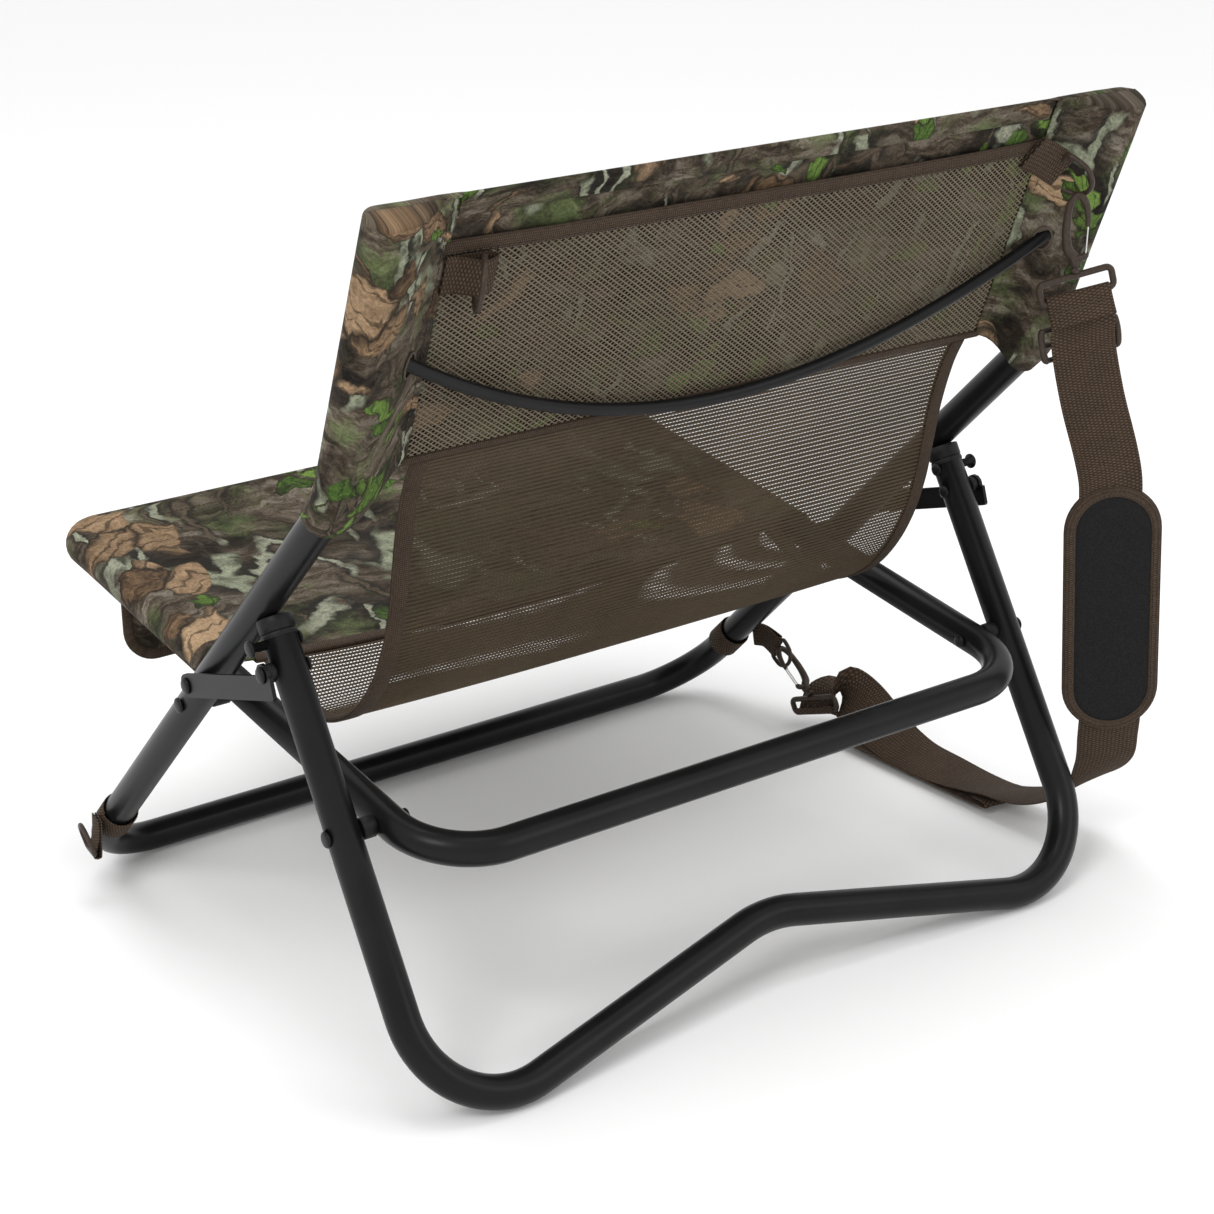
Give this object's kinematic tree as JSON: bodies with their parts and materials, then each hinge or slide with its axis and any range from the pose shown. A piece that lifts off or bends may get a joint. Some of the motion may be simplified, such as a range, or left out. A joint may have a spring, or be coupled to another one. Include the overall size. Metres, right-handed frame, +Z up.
{
  "type": "folding hunting chair",
  "caption": "Low folding chair with bent tube legs, a printed cloth sling seat, a mesh pocket on the back and a padded carry strap.",
  "frame": {"origin": "on the floor, under the middle of the front floor bar", "axes": "+Z up; the sitter faces -Y; +X is the sitter's left"},
  "size_m": [0.7471, 0.6312, 0.6476],
  "materials": {
    "black_paint": "satin powder coat",
    "black_steel": "semi-gloss black plating",
    "black_plastic": "moulded",
    "camo_cloth": "printed woven polyester",
    "brown_mesh": "open woven mesh",
    "brown_webbing": "ribbed webbing",
    "brown_plastic": "moulded, slightly glossy",
    "steel_wire": "bare wire",
    "black_pad": "stretch jersey over foam"
  },
  "bodies": {
    "front_frame": {"front_frame_tube": "black_paint", "back_bar": "black_paint", "back_panel": "camo_cloth", "back_mesh_pocket": "brown_mesh", "pocket_binding": "brown_webbing", "rear_sling_mesh": "brown_mesh", "sling_binding_left": "brown_webbing", "sling_binding_right": "brown_webbing", "seat_pivot_rivet_left": "black_steel", "seat_pivot_rivet_right": "black_steel", "seat_pivot_spacer_left": "black_plastic", "seat_pivot_spacer_right": "black_plastic", "strap_tab_upper": "brown_webbing", "strap_ring_upper": "brown_plastic", "strap_loop_upper": "brown_plastic", "strap_upper": "brown_webbing", "strap_slider": "brown_plastic", "shoulder_pad": "black_pad", "strap_lower": "brown_webbing", "strap_return": "brown_webbing", "strap_loop_lower": "brown_plastic", "foot_loop_left": "brown_webbing", "foot_loop_right": "brown_webbing", "foot_tab_left": "brown_webbing", "foot_tab_right": "brown_webbing", "strap_ring_lower": "brown_plastic", "strap_tab_left": "brown_webbing"},
    "seat_frame": {"seat_rear_tube": "black_paint", "seat_front_tube": "black_paint", "seat_cloth": "camo_cloth", "front_skirt": "camo_cloth", "skirt_binding": "brown_webbing"},
    "rear_legs": {"rear_leg_tube": "black_paint", "rear_leg_cap_left": "black_plastic", "rear_leg_cap_right": "black_plastic", "rear_pivot_rivet_left": "black_steel", "rear_pivot_rivet_right": "black_steel", "rear_pivot_spacer_left": "black_plastic", "rear_pivot_spacer_right": "black_plastic", "stop_stud_left": "black_steel", "stop_stud_right": "black_steel", "link_rear_rivet_left": "black_steel", "link_rear_rivet_right": "black_steel", "link_rear_spacer_left": "black_plastic", "link_rear_spacer_right": "black_plastic"},
    "link_left": {"link_plate_left": "black_steel", "link_front_rivet_left": "black_steel", "link_front_spacer_left": "black_plastic"},
    "link_right": {"link_plate_right": "black_steel", "link_front_rivet_right": "black_steel", "link_front_spacer_right": "black_plastic"},
    "snap_hook_upper": {"snap_hook_upper": "brown_plastic"},
    "snap_gate_upper": {"snap_gate_upper": "steel_wire"},
    "snap_hook_lower": {"snap_hook_lower": "brown_plastic"},
    "snap_gate_lower": {"snap_gate_lower": "steel_wire"},
    "foot_ring_left": {"foot_ring_left": "brown_plastic"},
    "tab_ring_left": {"strap_ring_left": "brown_plastic"}
  },
  "joints": [
    {"name": "fold", "type": "hinge", "parent": "front_frame", "child": "seat_frame", "pos_m": [0, 0.22097, 0.22438], "axis": [-1, 0, 0], "range_deg": [0, 112.7]},
    {"name": "rear_leg_fold", "type": "hinge", "parent": "seat_frame", "child": "rear_legs", "pos_m": [0, 0.42845, 0.1911], "axis": [1, 0, 0], "range_deg": [0, 41.1]},
    {"name": "link_left_fold", "type": "hinge", "parent": "rear_legs", "child": "link_left", "pos_m": [0.34, 0.36647, 0.29665], "axis": [-1, 0, 0], "range_deg": [0, 66.7]},
    {"name": "link_right_fold", "type": "hinge", "parent": "rear_legs", "child": "link_right", "pos_m": [-0.34, 0.36647, 0.29665], "axis": [-1, 0, 0], "range_deg": [0, 66.7]},
    {"name": "snap_hook_upper_swivel", "type": "hinge", "parent": "front_frame", "child": "snap_hook_upper", "pos_m": [-0.288, 0.518, 0.514], "axis": [0.02, 0.03, 0.9994], "range_deg": [-8, 8]},
    {"name": "snap_hook_lower_swivel", "type": "hinge", "parent": "front_frame", "child": "snap_hook_lower", "pos_m": [-0.346, 0.152, 0.034], "axis": [0.1005, -0.7233, 0.6831], "range_deg": [-8, 8]},
    {"name": "snap_gate_upper_spring", "type": "hinge", "parent": "snap_hook_upper", "child": "snap_gate_upper", "pos_m": [-0.29281, 0.52335, 0.52554], "axis": [0.7041, 0.7092, -0.0354], "range_deg": [0, 18], "stiffness_Nm_per_rad": 0.02, "springref_deg": -5.73},
    {"name": "snap_gate_lower_spring", "type": "hinge", "parent": "snap_hook_lower", "child": "snap_gate_lower", "pos_m": [-0.33839, 0.14496, 0.04065], "axis": [0, -0.6866, -0.727], "range_deg": [0, 18], "stiffness_Nm_per_rad": 0.02, "springref_deg": -5.73},
    {"name": "foot_ring_left_swing", "type": "hinge", "parent": "front_frame", "child": "foot_ring_left", "pos_m": [0.349, 0.066, 0.048], "axis": [0.2024, 0.9735, 0.1068], "range_deg": [-5, 140]},
    {"name": "strap_ring_left_swing", "type": "hinge", "parent": "front_frame", "child": "tab_ring_left", "pos_m": [0.24, 0.50443, 0.58911], "axis": [0.0009, 0.3809, 0.9246], "range_deg": [-25, 70]}
  ],
  "couplings": [
    {"joint": "rear_leg_fold", "follows": "fold", "ratio": 0.3637},
    {"joint": "link_left_fold", "follows": "fold", "ratio": 0.5904},
    {"joint": "link_right_fold", "follows": "fold", "ratio": 0.5904}
  ]
}
